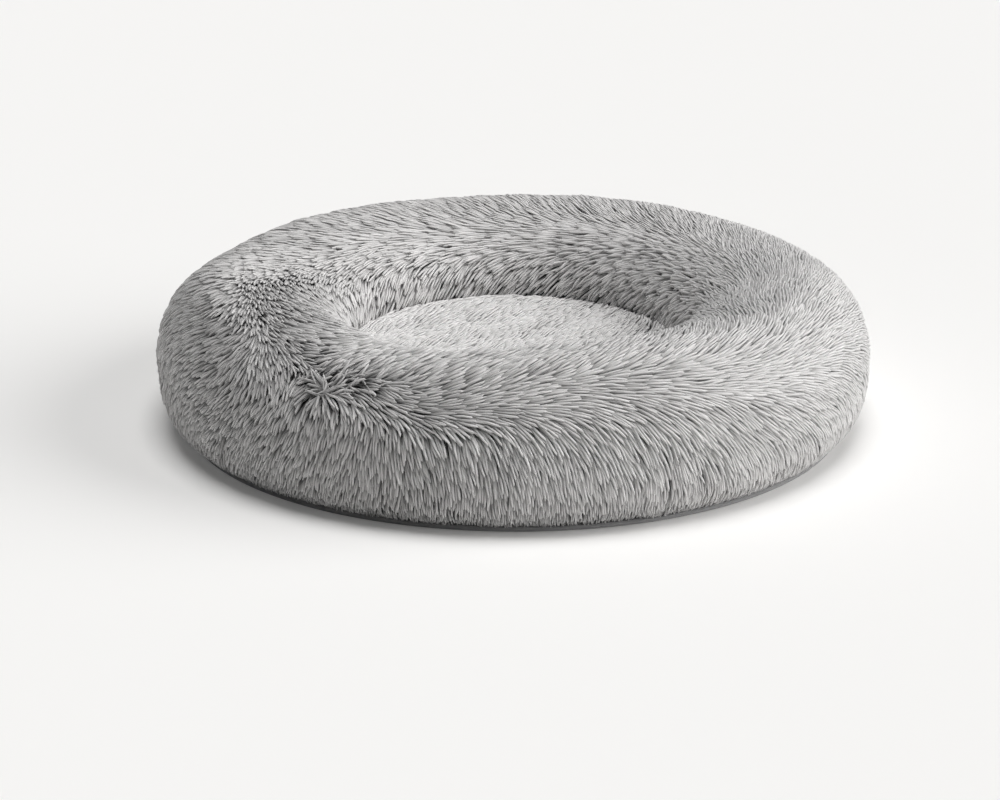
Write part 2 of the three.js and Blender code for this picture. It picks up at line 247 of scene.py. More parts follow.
def tubes(name, rings):
    """Closed tubes from rings of points: an array of tube, step along it, point round it.
    Both ends are closed flat. The UV map measures metres along and round each tube."""
    count, steps, sides = rings.shape[:3]
    start = (np.arange(count) * steps * sides)[:, None, None]
    step, side = np.arange(steps - 1)[:, None] * sides, np.arange(sides)[None, :]
    beside = (side + 1) % sides
    quads = np.stack(np.broadcast_arrays(
        start + step + side, start + step + beside,
        start + step + sides + beside, start + step + sides + side), -1)
    ring = np.arange(sides)
    caps = np.concatenate([start[:, 0] + ring[::-1], start[:, 0] + (steps - 1) * sides + ring])
    made = mesh_of(name, rings.reshape(-1, 3), [quads.reshape(-1, 4), caps])
    middle = rings.mean(2)
    hops = np.linalg.norm(np.diff(middle, axis=1), axis=-1)
    along = np.concatenate([np.zeros((count, 1)), np.cumsum(hops, 1)], 1)
    loop = np.concatenate([rings, rings[:, :, :1]], 2)
    girth = np.linalg.norm(np.diff(loop, axis=2), axis=-1)
    round_it = np.concatenate([np.zeros((count, steps, 1)), np.cumsum(girth, 2)], 2)
    u = np.stack([along[:, :-1], along[:, :-1], along[:, 1:], along[:, 1:]], -1)[:, :, None, :]
    v = np.stack([
        round_it[:, :-1, :-1], round_it[:, :-1, 1:], round_it[:, 1:, 1:], round_it[:, 1:, :-1]], -1)
    u, v = np.broadcast_arrays(u, v)
    ends = np.broadcast_to(ring * 0.0002, caps.shape).ravel()
    cloth_chart(made, np.concatenate([u.ravel(), ends]), np.concatenate([v.ravel(), ends]))
    return closed(made)


def maths(tree, operation, *values):
    """A Math node of a node tree. Each value is a number or another node's output."""
    made = tree.nodes.new("ShaderNodeMath")
    made.operation = operation
    for number, value in enumerate(values):
        if isinstance(value, (int, float)):
            made.inputs[number].default_value = value
        else:
            tree.links.new(value, made.inputs[number])
    return made.outputs[0]


def new_group(name, **sockets):
    """A shader node group with the named inputs, and its input and output nodes. A socket
    is a float, a vector or a color, and one that begins with out is an output."""
    group = bpy.data.node_groups.new(name, "ShaderNodeTree")
    kinds = {"float": "NodeSocketFloat", "vector": "NodeSocketVector", "color": "NodeSocketColor"}
    for label, kind in sockets.items():
        side = "OUTPUT" if kind.startswith("out ") else "INPUT"
        group.interface.new_socket(label, in_out=side, socket_type=kinds[kind.split()[-1]])
    return group, group.nodes.new("NodeGroupInput"), group.nodes.new("NodeGroupOutput")


def plain_weave():
    """Threads that cross over and under. In every other little square the thread along U
    lies on top, and in the rest the one along V. A thread's height is the sine across it
    times the root of the sine along it, so that it dips under its neighbours."""
    group, given, result = new_group(
        "plain_weave", Vector="vector", Threads="float", Height="out float")
    scaled = group.nodes.new("ShaderNodeVectorMath")
    scaled.operation = "SCALE"
    group.links.new(given.outputs["Vector"], scaled.inputs[0])
    group.links.new(given.outputs["Threads"], scaled.inputs["Scale"])
    parts = group.nodes.new("ShaderNodeSeparateXYZ")
    group.links.new(scaled.outputs[0], parts.inputs[0])
    waves, cells = [], []
    for axis in "XY":
        inside = maths(group, "FRACT", parts.outputs[axis])
        waves.append(maths(group, "SINE", maths(group, "MULTIPLY", inside, math.pi)))
        cells.append(maths(group, "FLOOR", parts.outputs[axis]))
    parity = maths(group, "FLOORED_MODULO", maths(group, "ADD", *cells), 2.0)
    roots = [maths(group, "SQRT", maths(group, "MAXIMUM", wave, 0.0)) for wave in waves]
    first = maths(group, "MULTIPLY", waves[0], roots[1])
    second = maths(group, "MULTIPLY", waves[1], roots[0])
    chosen = maths(group, "MULTIPLY", maths(group, "SUBTRACT", second, first), parity)
    group.links.new(maths(group, "ADD", first, chosen), result.inputs["Height"])
    return group


def mottle_and_painted_shade():
    """Uneven dye, and painted shade: the color is made lighter and darker by soft noise of the
    given size, and darker where the relief is low, which is painted shade."""
    group, given, result = new_group(
        "mottle_and_painted_shade", Vector="vector", Color="color", Size="float", Amount="float",
        Relief="float", Mottled="out color")
    noise = group.nodes.new("ShaderNodeTexNoise")
    noise.inputs["Detail"].default_value = 3
    group.links.new(given.outputs["Vector"], noise.inputs["Vector"])
    group.links.new(maths(group, "DIVIDE", 1.0, given.outputs["Size"]), noise.inputs["Scale"])
    uneven = maths(group, "MULTIPLY", maths(group, "SUBTRACT", noise.outputs["Fac"], 0.5), 2.0)
    blotch = maths(group, "MULTIPLY_ADD", uneven, given.outputs["Amount"], 1.0)
    # Painted shade: the color is darker where the relief is low.
    painted_low_shade = maths(group, "MULTIPLY_ADD", given.outputs["Relief"], 0.35, 0.65)
    shaded = maths(group, "MULTIPLY", blotch, painted_low_shade)
    mixed = group.nodes.new("ShaderNodeVectorMath")
    mixed.operation = "SCALE"
    group.links.new(given.outputs["Color"], mixed.inputs[0])
    group.links.new(shaded, mixed.inputs["Scale"])
    group.links.new(mixed.outputs[0], result.inputs["Mottled"])
    return group


weave_group = plain_weave()
mottle_and_shade_group = mottle_and_painted_shade()


def cloth_look(name, color, threads, relief, amount=0.12, size=0.03, on_chart=True, sheen=0.25):
    """Woven cloth with a number of threads to the metre, which stand up by the relief in metres,
    with uneven dye and with painted shade where the threads dip. The weave follows the piece's UV
    map, or its place."""
    material, tree, shader = named_material(name, color, 0.85, sheen=sheen, specular=0.3)
    places = tree.nodes.new("ShaderNodeUVMap" if on_chart else "ShaderNodeTexCoord")
    if on_chart:
        places.uv_map = "cloth"
    place = places.outputs["UV" if on_chart else "Object"]
    weave = tree.nodes.new("ShaderNodeGroup")
    weave.node_tree = weave_group
    weave.inputs["Threads"].default_value = threads
    dye_and_shade = tree.nodes.new("ShaderNodeGroup")
    dye_and_shade.node_tree = mottle_and_shade_group
    dye_and_shade.inputs["Color"].default_value = color
    dye_and_shade.inputs["Size"].default_value = size
    dye_and_shade.inputs["Amount"].default_value = amount
    bump = tree.nodes.new("ShaderNodeBump")
    bump.inputs["Distance"].default_value = relief
    tree.links.new(place, weave.inputs["Vector"])
    tree.links.new(place, dye_and_shade.inputs["Vector"])
    # The weave's height also darkens the color where the threads dip: painted shade.
    tree.links.new(weave.outputs["Height"], dye_and_shade.inputs["Relief"])
    tree.links.new(weave.outputs["Height"], bump.inputs["Height"])
    tree.links.new(dye_and_shade.outputs["Mottled"], shader.inputs["Base Color"])
    tree.links.new(bump.outputs["Normal"], shader.inputs["Normal"])
    return material


def dress(made, material, node, body="root"):
    """Gives a finished piece its material and the body it rides on, and hides the CAD node that it
    stands for."""
    made.data.materials.append(material)
    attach(made, body)
    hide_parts(node)


turn_steps = np.arange(180) * full_turn / 180
panel_r, panel_z = disc_loop(panel_radius, panel_low, panel_high, 30)
panel_grid = on_axis(turn_steps[None, :], panel_r[:, None], panel_z[:, None])
panel_grid[..., 2] += 0.00015 * waviness(1, panel_grid * [1, 1, 0], 0.09)
base_cloth = round_sheet("base_cloth", panel_grid)
dress(base_cloth, cloth_look("base_weave", base_color, 1250, 0.00015, on_chart=False),
      "base_panel")

rows_of_dots = int(panel_radius / dot_pitch / 0.866)
dot_row, dot_column = np.meshgrid(
    np.arange(-rows_of_dots, rows_of_dots + 1), np.arange(-30, 31), indexing="ij")
dot_x = (dot_column + 0.5 * (dot_row % 2)) * dot_pitch
dot_y = dot_row * dot_pitch * 0.866
kept = np.hypot(dot_x, dot_y) < panel_radius - 0.012
dot_middle = np.stack([dot_x[kept], dot_y[kept], np.zeros(kept.sum())], -1)
dot_turn = np.arange(6) * full_turn / 6
dot_rings = np.stack([
    on_axis(dot_turn, dot_radius, panel_low + 0.0002), on_axis(dot_turn, dot_radius * 0.97, 0.0004),
    on_axis(dot_turn, dot_radius * 0.6, 0.0)])
grip_dots = tubes("grip_dots", dot_middle[:, None, None] + dot_rings)
dot_material, dot_tree, dot_shader = named_material("grip_rubber", dot_color, 0.6)
dot_noise = dot_tree.nodes.new("ShaderNodeTexNoise")
dot_noise.inputs["Scale"].default_value = 900
dot_places = dot_tree.nodes.new("ShaderNodeTexCoord")
dot_bump = dot_tree.nodes.new("ShaderNodeBump")
dot_bump.inputs["Distance"].default_value = 0.0001
dot_tree.links.new(dot_places.outputs["Object"], dot_noise.inputs["Vector"])
dot_tree.links.new(dot_noise.outputs["Fac"], dot_bump.inputs["Height"])
dot_tree.links.new(dot_bump.outputs["Normal"], dot_shader.inputs["Normal"])
dress(grip_dots, dot_material, "base_panel")

# Base binding. A firm roll of mid-grey cloth round the edge of the base, folded over a
# cord and sewn down. It pulls in a little at each stitch of the row near its top.
binding_height = 0.007
binding_color = (0.36, 0.36, 0.365, 1)
stitch_pitch = 0.0045
stitches = int(full_turn * binding_radius / stitch_pitch)
stitch_height = 0.0050
stitch_half = 0.0016
thread_size = 0.00024
roll_power = 3.4
pucker_depth = 0.00018
pucker_reach = 0.0015


def squared_loop(half_width, half_height, power, points):
    """A squared oval of the given power, as offsets outwards and upwards."""
    t = np.arange(points) * full_turn / points
    c, s = np.cos(t), np.sin(t)
    return (
        half_width * np.sign(c) * np.abs(c) ** (2 / power),
        half_height * np.sign(s) * np.abs(s) ** (2 / power),
    )


roll_out, roll_up = squared_loop(binding_width / 2, binding_height / 2, roll_power, 18)
roll_turn = np.arange(2 * stitches) * full_turn / (2 * stitches)
near_row = np.exp(-((roll_up + binding_height / 2 - stitch_height) / pucker_reach) ** 2)
near_row = near_row * (roll_out > 0)
pucker = pucker_depth * (1 + np.cos(stitches * roll_turn))[None, :] * near_row[:, None]
roll_grid = on_axis(
    roll_turn[None, :], binding_radius - binding_width / 2 + roll_out[:, None] - pucker,
    binding_height / 2 + roll_up[:, None])
binding_roll = round_sheet("binding_roll", roll_grid, binding_radius)
dress(binding_roll, cloth_look("binding_weave", binding_color, 1500, 0.00010),
      "base_binding")

stitch_turn = (np.arange(stitches) + 0.5) * full_turn / stitches
lift = abs(stitch_height - binding_height / 2) / (binding_height / 2)
outermost = binding_width / 2 * (1 - lift ** roll_power) ** (1 / roll_power)
bow = np.array([-1.0, -0.6, 0, 0.6, 1.0])
thread_turn = stitch_turn[:, None] + bow * stitch_half / binding_radius
thread_radius = binding_radius - binding_width / 2 + outermost + 0.0001 - 0.0005 * bow ** 4
thread = np.array([0.5, 1, 1, 1, 0.5]) * thread_size
side = np.arange(5) * full_turn / 5
stitch_rings = on_axis(
    thread_turn[:, :, None], thread_radius[None, :, None] + thread[:, None] * np.cos(side),
    stitch_height + thread[:, None] * np.sin(side))
binding_stitches = tubes("binding_stitches", stitch_rings)
dress(binding_stitches, cloth_look("sewing_thread", (0.40, 0.40, 0.405, 1), 4000, 0.00004),
      "base_binding")

# Zip. A nylon coil zip in the rear of the base seam, through which the filled bags go in:
# two woven tapes, each with a coil sewn round its edge, standing on the binding's top.
zip_radius = binding_radius - 0.0048
zip_half = math.radians(50)
zip_middle = 0.0143
tape_foot = binding_height + gap
tape_thickness = 0.0005
tape_hem = 0.0119
coil_reach = 0.00082
coil_wire = 0.00028
coil_pitch = 0.0015
cast_edge = 0.00018
tape_color = (0.13, 0.13, 0.135, 1)
nylon_color = (0.10, 0.10, 0.105, 1)


def zip_arc(node):
    """The angles at which a zip piece begins and ends, from the box of its CAD solid: its
    ends are where the box is widest across the zip's arc."""
    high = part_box(node)[1]
    half = math.asin(min(1, high.x / math.hypot(high.x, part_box(node)[0].y)))
    return math.pi / 2 - half, math.pi / 2 + half


def zip_tape(name, foot, top, node):
    """A tape on edge along the zip's arc, from foot to top, with soft waves sideways."""
    steps = np.linspace(math.pi / 2 - zip_half, math.pi / 2 + zip_half, 300)
    rise = np.linspace(foot, top, 6)
    side = np.concatenate([np.full(6, 0.5), np.full(6, -0.5)]) * tape_thickness
    height = np.concatenate([rise, rise[::-1]])
    wave = 0.00012 * np.sin(37 * steps)[:, None]
    rings = on_axis(steps[:, None], zip_radius + side + wave, height)
    made = tubes(name, rings[None])
    dress(made, tape_look, node)


def zip_coil(name, middle, node):
    """One row of teeth: a wire wound in a spiral round the tape's edge. Its centre line is
    an oval carried along the arc, and each ring of points stands square to it."""
    start, end = zip_arc(node)
    turns = int((end - start) * zip_radius / coil_pitch)
    phase = np.linspace(0, turns * full_turn, turns * 7 + 1)
    angle = start + (end - start) * phase / phase[-1]
    away = on_axis(angle, np.cos(phase), np.sin(phase))
    line = on_axis(angle, zip_radius, middle) + coil_reach * away
    ahead = np.gradient(line, axis=0)
    ahead /= np.linalg.norm(ahead, axis=1, keepdims=True)
    beside = np.cross(ahead, away)
    beside /= np.linalg.norm(beside, axis=1, keepdims=True)
    side = (np.arange(4) + 0.5)[None, :, None] * full_turn / 4
    spokes = np.cos(side) * away[:, None] + np.sin(side) * beside[:, None]
    made = tubes(name, (line[:, None] + coil_wire * spokes)[None])
    made.data.set_sharp_from_angle(angle=math.pi)
    dress(made, nylon_look, node)


def zip_end_stop(name, node):
    """A stop pressed over both tapes at an end of the rows: a squared oval section that
    shrinks to rounded ends."""
    low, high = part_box(node)
    middle = math.atan2((low.y + high.y) / 2, (low.x + high.x) / 2)
    along = np.linspace(-1, 1, 9)
    swell = (1 - 0.35 * along ** 6)[:, None]
    out, up = squared_loop(0.0015, (high.z - low.z) / 2, 4, 16)
    rings = on_axis((middle + along * 0.002 / zip_radius)[:, None], zip_radius + out * swell,
                    (low.z + high.z) / 2 + up * swell)
    dress(tubes(name, rings[None]), cast_look, node)


def satin_metal(name, color):
    """Tumbled, nickel-plated zinc: fine scratches every way make the gloss uneven."""
    material, tree, shader = named_material(name, color, 0.35, metallic=1.0)
    places = tree.nodes.new("ShaderNodeTexCoord")
    scratches = tree.nodes.new("ShaderNodeTexNoise")
    scratches.inputs["Scale"].default_value = 2200
    scratches.inputs["Detail"].default_value = 4
    gloss = tree.nodes.new("ShaderNodeMapRange")
    gloss.inputs["To Min"].default_value = 0.22
    gloss.inputs["To Max"].default_value = 0.48
    bump = tree.nodes.new("ShaderNodeBump")
    bump.inputs["Distance"].default_value = 0.00003
    tree.links.new(places.outputs["Object"], scratches.inputs["Vector"])
    tree.links.new(scratches.outputs["Fac"], gloss.inputs["Value"])
    tree.links.new(scratches.outputs["Fac"], bump.inputs["Height"])
    tree.links.new(gloss.outputs["Result"], shader.inputs["Roughness"])
    tree.links.new(bump.outputs["Normal"], shader.inputs["Normal"])
    return material


def cast_copy(name, node, body):
    """A cast piece with the shape of its CAD solid and every edge rounded: a merged copy,
    with flat faces joined and the edges between them bevelled."""
    mesh = bpy.data.objects[node].data.copy()
    mesh.name = name
    mesh.materials.clear()
    made = bpy.data.objects.new(name, mesh)
    bpy.context.scene.collection.objects.link(made)
    form = bmesh.new()
    form.from_mesh(mesh)
    bmesh.ops.remove_doubles(form, verts=form.verts, dist=1e-6)
    bmesh.ops.dissolve_limit(form, angle_limit=math.radians(1), verts=form.verts, edges=form.edges)
    sharp = [
        edge for edge in form.edges
        if len(edge.link_faces) == 2 and edge.calc_face_angle() > math.radians(35)]
    bmesh.ops.bevel(form, geom=sharp, offset=cast_edge, offset_type="OFFSET", segments=2,
                    profile=0.5, affect="EDGES", clamp_overlap=True)
    bmesh.ops.recalc_face_normals(form, faces=form.faces)
    form.to_mesh(mesh)
    form.free()
    mesh.shade_smooth()
    mesh.set_sharp_from_angle(angle=math.radians(50))
    dress(made, cast_look, node, body)


tape_look = cloth_look("tape_weave", tape_color, 2400, 0.00008)
nylon_look, nylon_tree, nylon_shader = named_material("coil_nylon", nylon_color, 0.42)
nylon_gloss = nylon_tree.nodes.new("ShaderNodeTexNoise")
nylon_gloss.inputs["Scale"].default_value = 1500
nylon_range = nylon_tree.nodes.new("ShaderNodeMapRange")
nylon_range.inputs["To Min"].default_value = 0.32
nylon_range.inputs["To Max"].default_value = 0.52
nylon_places = nylon_tree.nodes.new("ShaderNodeTexCoord")
nylon_tree.links.new(nylon_places.outputs["Object"], nylon_gloss.inputs["Vector"])
nylon_tree.links.new(nylon_gloss.outputs["Fac"], nylon_range.inputs["Value"])
nylon_tree.links.new(nylon_range.outputs["Result"], nylon_shader.inputs["Roughness"])
cast_look = satin_metal("satin_nickel", (0.52, 0.53, 0.55, 1))

zip_tape("zip_tape_low", tape_foot, tape_hem, "zip_tape_lower")
zip_tape("zip_tape_high", 2 * zip_middle - tape_hem, 2 * zip_middle - tape_foot, "zip_tape_upper")
zip_coil("zip_coil_low", 0.0123, "zip_teeth_lower")
zip_coil("zip_coil_high", 0.0163, "zip_teeth_upper")
zip_end_stop("zip_stop_left", "zip_stop_start")
zip_end_stop("zip_stop_right", "zip_stop_end")
cast_copy("zip_slider_body", "zip_slider", "slider")
cast_copy("zip_pull_tab", "zip_pull", "pull")

# Divider. A strip of thin bonded cloth on edge, sewn to the base below and to the seam of
# ring and pad above, which ties that seam down. Like everything that is stuffed, it
# follows the form to which the bed has settled.
bed_radius = 0.455
rim_height = 0.196
crest_radius = 0.368
hollow_radius = 0.212
pad_height = 0.100
pad_crown = 0.007
seam_height = 0.058
middle = rim_height / 2
floor_gap = panel_high + gap
seam_radius = crest_radius - (crest_radius - hollow_radius) * math.sqrt(
    1 - ((middle - seam_height) / middle) ** 2)
divider_thickness = 0.0012
front_dip = 0.013
rear_dip = 0.007
crease_depth = 0.010
bulge_depth = 0.007
bag_color = (0.72, 0.70, 0.66, 1)


def smooth(x):
    """Rises from 0 to 1 with level ends."""
    x = np.clip(x, 0, 1)
    return x * x * (3 - 2 * x)


def turn_between(a, b):
    """The smallest turn from the angle b to the angle a."""
    return np.arctan2(np.sin(a - b), np.cos(a - b))


def hump(angle, at, spread):
    """A bell of height 1 round the angle at, both in degrees."""
    return np.exp(-((turn_between(angle, math.radians(at)) / math.radians(spread)) ** 2))


def settle(angle, radius, height):
    """Radius and height after the bed has settled. The crest sinks by two slow waves and
    two dips, in proportion to how far it stands over the pad. The hollow's wall shifts out
    at the crease on the right and in at the bulge in front, and that fades towards the
    crest and the middle."""
    waves = 0.0015 * (1 + np.sin(3 * angle + 0.6)) + 0.001 * (1 + np.sin(5 * angle - 0.9))
    sag = waves + front_dip * hump(angle, -116, 27) + rear_dip * hump(angle, 160, 16)
    shift = crease_depth * hump(angle, -4, 14) - bulge_depth * hump(angle, -84, 52)
    outside = 1 - smooth((radius - hollow_radius) / (crest_radius - hollow_radius))
    share = np.where(radius < hollow_radius, radius / hollow_radius, outside)
    sunk = smooth((height - pad_height) / (rim_height - pad_height))
    return radius + shift * share, height - sag * sunk


bag_look = cloth_look("bag_cloth", bag_color, 1400, 0.00008, amount=0.08)
divider_rise = np.linspace(floor_gap, seam_height - gap, 16)
divider_height = np.concatenate([divider_rise, divider_rise[::-1]])[:, None]
divider_side = np.repeat([0.5, -0.5], 16)[:, None] * divider_thickness
slack = 0.00025 * np.sin(46 * turn_steps)[None, :] * np.sin(math.pi * divider_height / seam_height)
divider_cloth = round_sheet("divider_cloth", on_axis(turn_steps[None, :], *settle(
    turn_steps[None, :], seam_radius + divider_side + slack, divider_height)), seam_radius)
dress(divider_cloth, bag_look, "divider_wall")

# Ring filling. Loose polyester fibre, blown into the ring's bag, where it lies in soft lumps.
lining_powers = (2.0, 2.5, 7.0)
fill_inset = 0.0220
fill_foot = 0.0040
fill_color = (0.88, 0.87, 0.85, 1)


def ring_profile(t, inset=0.0, foot=0.0, powers=(1.9, 3.2, 2.0)):
    """Radius and height at the angle t round the ring's section: 0 faces outwards, a
    quarter turn is the crest and a half turn faces the hollow. Each quarter is a
    superellipse with the power given for the top, the outer foot or the inner foot."""
    c, s = np.cos(t), np.sin(t)
    reach = np.where(c >= 0, bed_radius - crest_radius, crest_radius - hollow_radius) - inset
    power = np.where(s >= 0, powers[0], np.where(c >= 0, powers[1], powers[2]))
    rise = np.where(s >= 0, rim_height - middle - inset, middle - foot)
    return (
        crest_radius + reach * np.sign(c) * np.abs(c) ** (2 / power),
        middle + rise * np.sign(s) * np.abs(s) ** (2 / power),
    )


def fibre_look(name, color):
    """Matted fibre: fine wisps, and painted shade that makes the soft hollows between lumps a
    little darker.
    """
    material, tree, shader = named_material(name, color, 1.0, sheen=0.4, specular=0.1)
    places = tree.nodes.new("ShaderNodeTexCoord")
    wisps = tree.nodes.new("ShaderNodeTexNoise")
    wisps.inputs["Scale"].default_value = 260
    wisps.inputs["Detail"].default_value = 5
    wisps.inputs["Distortion"].default_value = 1.5
    dye_and_shade = tree.nodes.new("ShaderNodeGroup")
    dye_and_shade.node_tree = mottle_and_shade_group
    dye_and_shade.inputs["Color"].default_value = color
    dye_and_shade.inputs["Size"].default_value = 0.05
    dye_and_shade.inputs["Amount"].default_value = 0.15
    bump = tree.nodes.new("ShaderNodeBump")
    bump.inputs["Distance"].default_value = 0.0012
    tree.links.new(places.outputs["Object"], wisps.inputs["Vector"])
    tree.links.new(places.outputs["Object"], dye_and_shade.inputs["Vector"])
    # The wisps' low places are made darker: painted shade.
    tree.links.new(wisps.outputs["Fac"], dye_and_shade.inputs["Relief"])
    tree.links.new(wisps.outputs["Fac"], bump.inputs["Height"])
    tree.links.new(dye_and_shade.outputs["Mottled"], shader.inputs["Base Color"])
    tree.links.new(bump.outputs["Normal"], shader.inputs["Normal"])
    return material


def lumps(seed, points, depth):
    """How far the filling falls short of its bag: from nothing to the given depth."""
    return depth * (0.5 + 0.5 * np.clip(waviness(seed, points, 0.06), -1, 1))


fibre_material = fibre_look("matted_fibre", fill_color)
fill_turn = (np.arange(72) * full_turn / 72)[:, None]
fill_r, fill_z = ring_profile(fill_turn, fill_inset, fill_foot, lining_powers)
fill_places = on_axis(turn_steps[None, :], fill_r, fill_z)
fill_r, fill_z = ring_profile(
    fill_turn, fill_inset + lumps(2, fill_places, 0.004), fill_foot + lumps(3, fill_places, 0.003),
    lining_powers)
ring_stuffing = round_sheet(
    "ring_stuffing", on_axis(turn_steps[None, :], *settle(turn_steps[None, :], fill_r, fill_z)))
dress(ring_stuffing, fibre_material, "ring_fill")

# Ring bag. A tube of thin bonded cloth that holds the ring's filling when the cover is off
# for washing. Its closing seam runs round underneath.
bag_thickness = 0.0010
bag_inset = 0.0205
bag_foot = 0.0025
bag_turn = np.linspace(math.radians(-98.5), math.radians(260), 90)[:, None]
bag_faces = []
for depth in (0, bag_thickness):
    inset, foot = bag_inset + depth, bag_foot + depth
    bag_r, bag_z = ring_profile(bag_turn, inset, foot, lining_powers)
    puckers = lumps(4, on_axis(turn_steps[None, :], bag_r, bag_z), 0.0006)
    bag_r, bag_z = ring_profile(bag_turn, inset + puckers, foot, lining_powers)
    bag_faces.append(on_axis(turn_steps[None, :], *settle(turn_steps[None, :], bag_r, bag_z)))
ring_bag = round_sheet("ring_bag", np.concatenate([bag_faces[0], bag_faces[1][::-1]]))
dress(ring_bag, bag_look, "ring_liner")

# Pad filling. The same loose fibre under the centre pad, crowned in the middle.
shoulder = 0.006
divider_room = 0.0008
seam_pile = 0.005
pad_bag_radius = seam_radius - divider_room - gap - seam_pile
pad_fill_inset = 0.0071
pad_fill_drop = 0.0220
pad_fill_radius = pad_bag_radius - 0.0018
pad_fill_foot = panel_high + 0.0020


def pad_side(height, inset):
    """Radius of the pad's leaning side at a height, from the ring's waist to the seam."""
    lean = (seam_radius - hollow_radius) * (middle - height) / (middle - seam_height)
    return hollow_radius + lean - inset


def pad_top(radius, inset=gap, drop=0.0):
    """Height of the pad's top at a radius: a shallow dome, rounded off over the last 12 mm
    by a quarter of an oval."""
    level = pad_height - pad_crown - shoulder - drop
    edge = pad_side(level, inset)
    fall = pad_height - drop - pad_crown * (edge / hollow_radius) ** 2 - level
    past = np.clip((radius - edge + 2 * shoulder) / (2 * shoulder), 0, 1)
    dome = pad_height - drop - pad_crown * (radius / hollow_radius) ** 2
    return dome - fall * (1 - np.sqrt(1 - past ** 2))


def pad_section(inset, drop, side, foot):
    """Half section of a layer of the pad from a straight foot: up the side to the seam,
    leaning in to the shoulder, and over the dome to the axis."""
    level = pad_height - pad_crown - shoulder - drop
    edge = pad_side(level, inset)
    rise = np.linspace(foot, seam_height, 8)
    lean = np.linspace(seam_height, level, 6)[1:]
    dome = edge * np.sin(np.linspace(math.pi / 2, 0, 24))[1:]
    radius = np.concatenate([np.full(8, side), np.linspace(side, edge, 6)[1:], dome])
    return radius, np.concatenate([rise, lean, pad_top(dome, inset, drop)])


def pad_sheet(name, radius, height, bumps=0.0):
    """A closed round piece of the pad from the loop of its half section."""
    radius, height = radius[:, None], height[:, None]
    rough = lumps(5, on_axis(turn_steps[None, :], radius, height), bumps)
    lowered = height - rough * (height > seam_height)
    narrowed = radius - 0.5 * rough * (radius > 0.1)
    settled = on_axis(turn_steps[None, :], *settle(turn_steps[None, :], narrowed, lowered))
    return round_sheet(name, settled, 0.2)


top_r, top_z = pad_section(pad_fill_inset, pad_fill_drop, pad_fill_radius, pad_fill_foot)
under = np.linspace(0, pad_fill_radius, 12)[:-1]
pad_stuffing = pad_sheet("pad_stuffing", np.concatenate([under, top_r]),
                         np.concatenate([np.full(11, pad_fill_foot), top_z]), 0.003)
dress(pad_stuffing, fibre_material, "pad_fill")

# Pad bag. Two halves of thin bonded cloth, a cup under the filling and a crowned lid over
# it, sewn together half-way up the side.
bag_split = 0.030
lid_inset = 0.0057
lid_drop = 0.0204
cup_inside = pad_bag_radius - bag_thickness
cup_floor = floor_gap + bag_thickness
cup_r = np.concatenate([np.linspace(0, pad_bag_radius, 14), np.full(8, pad_bag_radius),
                        np.full(8, cup_inside), np.linspace(cup_inside, 0, 14)])
cup_rise = np.linspace(floor_gap, bag_split - gap, 8)
cup_z = np.concatenate([np.full(14, floor_gap), cup_rise,
                        np.maximum(cup_rise, cup_floor)[::-1], np.full(14, cup_floor)])
pad_bag_base = pad_sheet("pad_bag_base", cup_r, cup_z)
dress(pad_bag_base, bag_look, "pad_liner_base")

lid_out_r, lid_out_z = pad_section(lid_inset, lid_drop, pad_bag_radius, bag_split)
lid_in_r, lid_in_z = pad_section(
    lid_inset + bag_thickness, lid_drop + bag_thickness, cup_inside, bag_split)
pad_bag_top = pad_sheet("pad_bag_top", np.concatenate([lid_out_r, lid_in_r[::-1]]),
                        np.concatenate([lid_out_z, lid_in_z[::-1]]))
dress(pad_bag_top, bag_look, "pad_liner_top")

# Plush backing of the ring. A knitted cloth that carries the pile, cut in ten gores and
# sewn to the binding outside and to the pad's seam inside.
pile_depth = 0.010
hem_depth = 0.002
backing_thickness = 0.0015
hem_height = 0.0073
zip_hem_height = 0.0216
backing_color = (0.22, 0.217, 0.214, 1)
section_steps = 1400
profile_turn = np.linspace(math.radians(-89), math.radians(204), section_steps)
profile_radius, profile_height = ring_profile(profile_turn)
steps = np.hypot(np.diff(profile_radius), np.diff(profile_height))
profile_length = np.concatenate([[0], np.cumsum(steps)])


def length_at_height(height):
    """How far up the ring's outer foot, along the section, a height is reached."""
    outer = profile_turn < 0
    return np.interp(height, profile_height[outer], profile_length[outer])


def length_at_turn(degrees_round):
    """Length along the section at an angle round it, in degrees."""
    return np.interp(np.radians(degrees_round), profile_turn, profile_length)


def hem_line(angle):
    """Height of the plush's hem: low on the binding, and raised over the zip."""
    past = np.abs(turn_between(angle, math.pi / 2)) - zip_half + math.radians(0.5)
    return zip_hem_height + (hem_height - zip_hem_height) * smooth(past / math.radians(3.5))


def ring_surface(length, angle):
    """Point and outward normal of the ring's outer form at a length along the section
    and an angle round the bed. The normal is the cross product of the two directions on
    the surface, taken from points a little to each side."""
    def place(along, around):
        radius = np.interp(along, profile_length, profile_radius)
        height = np.interp(along, profile_length, profile_height)
        return on_axis(around, *settle(around, radius, height))

    nudge = 0.0015
    up = place(length + nudge, angle) - place(length - nudge, angle)
    turn = place(length, angle + 4 * nudge) - place(length, angle - 4 * nudge)
    normal = np.cross(turn, up)
    return place(length, angle), normal / np.linalg.norm(normal, axis=-1, keepdims=True)


